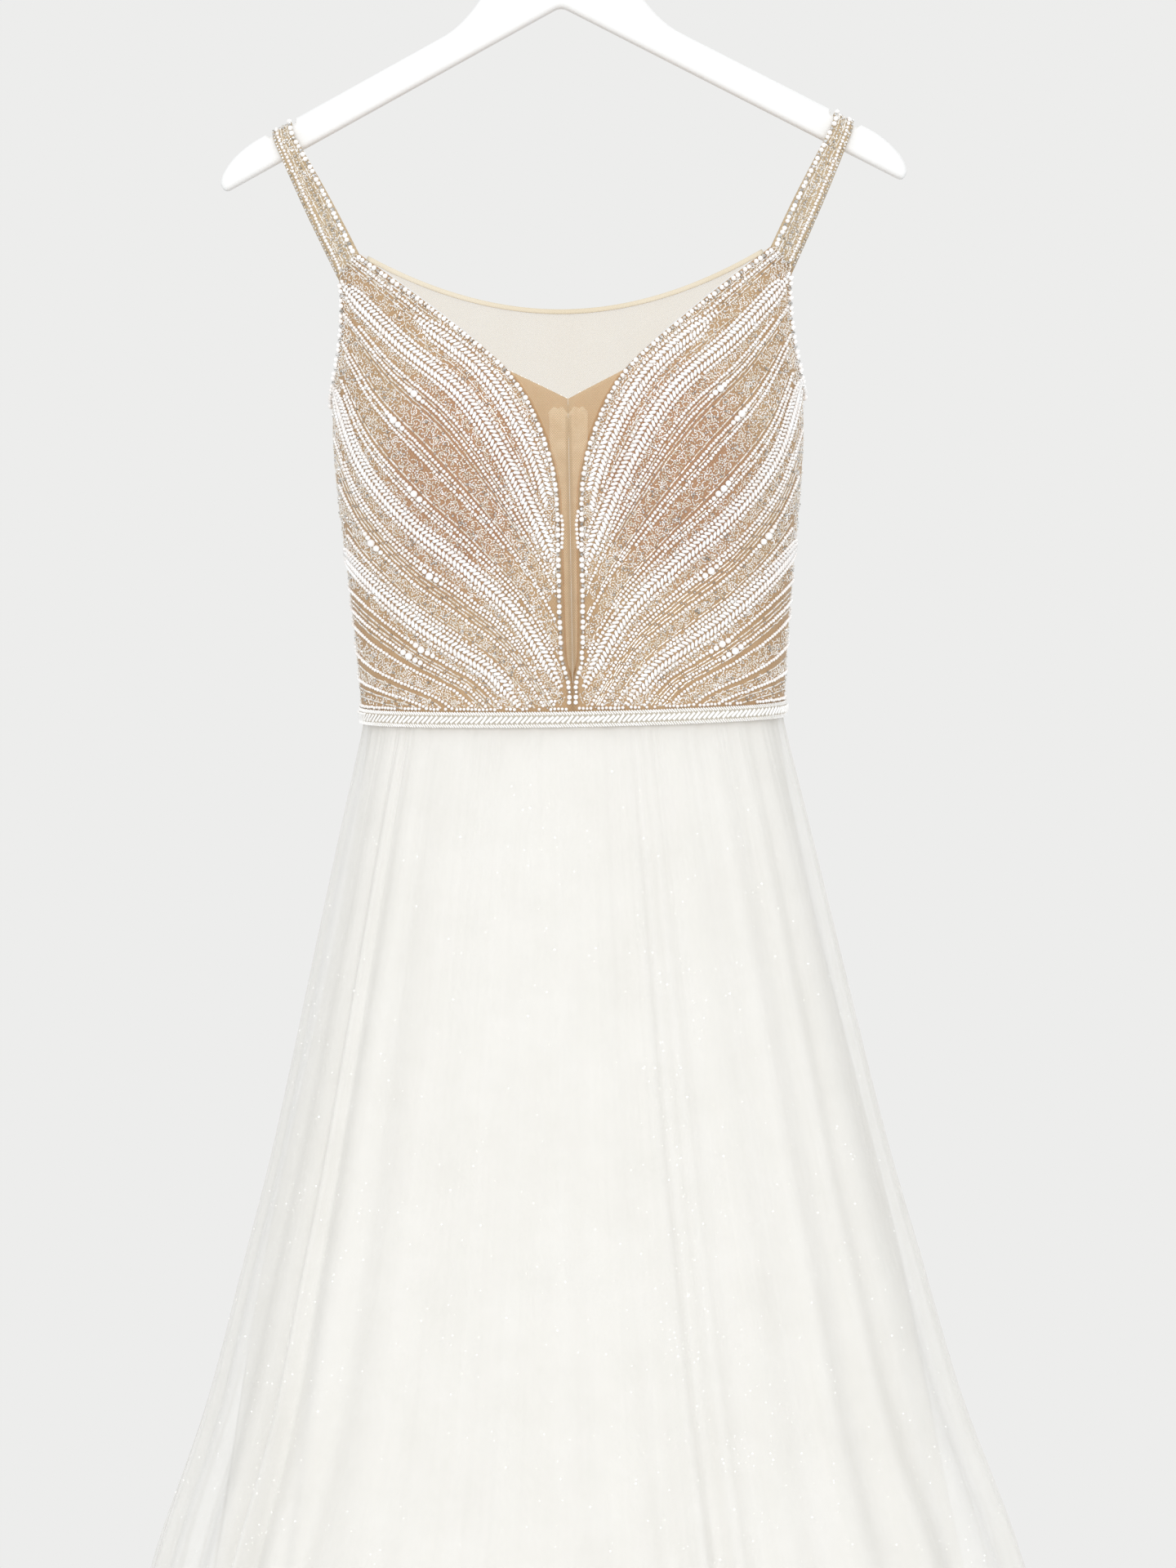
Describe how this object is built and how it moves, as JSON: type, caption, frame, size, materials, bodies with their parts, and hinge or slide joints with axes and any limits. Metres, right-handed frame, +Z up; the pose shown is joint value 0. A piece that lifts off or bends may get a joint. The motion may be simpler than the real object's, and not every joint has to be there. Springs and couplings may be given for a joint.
{
  "type": "beaded wedding dress on a wooden clothes hanger",
  "caption": "Sleeveless wedding dress with beaded plunge bodice, sheer neck mesh, narrow beaded belt and gathered tulle skirt, hanging by its straps on a white wooden hanger.",
  "frame": {"origin": "the point inside the top of the hook where a clothes rail carries it", "axes": "+Z up, front of the dress faces -Y, +X to the right of a viewer in front of it"},
  "size_m": [0.8919, 0.512, 1.6839],
  "materials": {
    "white_paint": "wood under gloss white paint",
    "bright_wire": "polished wire",
    "nude_cloth": "matt nude tulle over lining",
    "cup_foam": "matt covered foam",
    "tan_tape": "matt woven tape",
    "nude_mesh": "sheer fine mesh",
    "belt_band": "pale band under clear glass beads",
    "sheer_tulle": "sheer tulle with fine glitter",
    "pearl_beads": "pearl coat",
    "glass_beads": "bright glass bugles",
    "silver_beads": "silver-lined facets",
    "ivory_cloth": "matt ivory cloth"
  },
  "bodies": {
    "root": {"hanger": "white_paint", "hanger_hook": "bright_wire", "bodice_front_left": "nude_cloth", "bodice_back_left": "nude_cloth", "cup_left": "cup_foam", "zip_tape_left": "tan_tape", "strap_left": "nude_cloth", "bodice_front_right": "nude_cloth", "bodice_back_right": "nude_cloth", "cup_right": "cup_foam", "zip_tape_right": "tan_tape", "strap_right": "nude_cloth", "plunge_mesh": "nude_mesh", "neck_binding": "tan_tape", "waist_belt": "belt_band", "skirt_overlay_front": "sheer_tulle", "skirt_overlay_back": "sheer_tulle", "underskirt_front": "ivory_cloth", "underskirt_back": "ivory_cloth"}
  },
  "joints": []
}
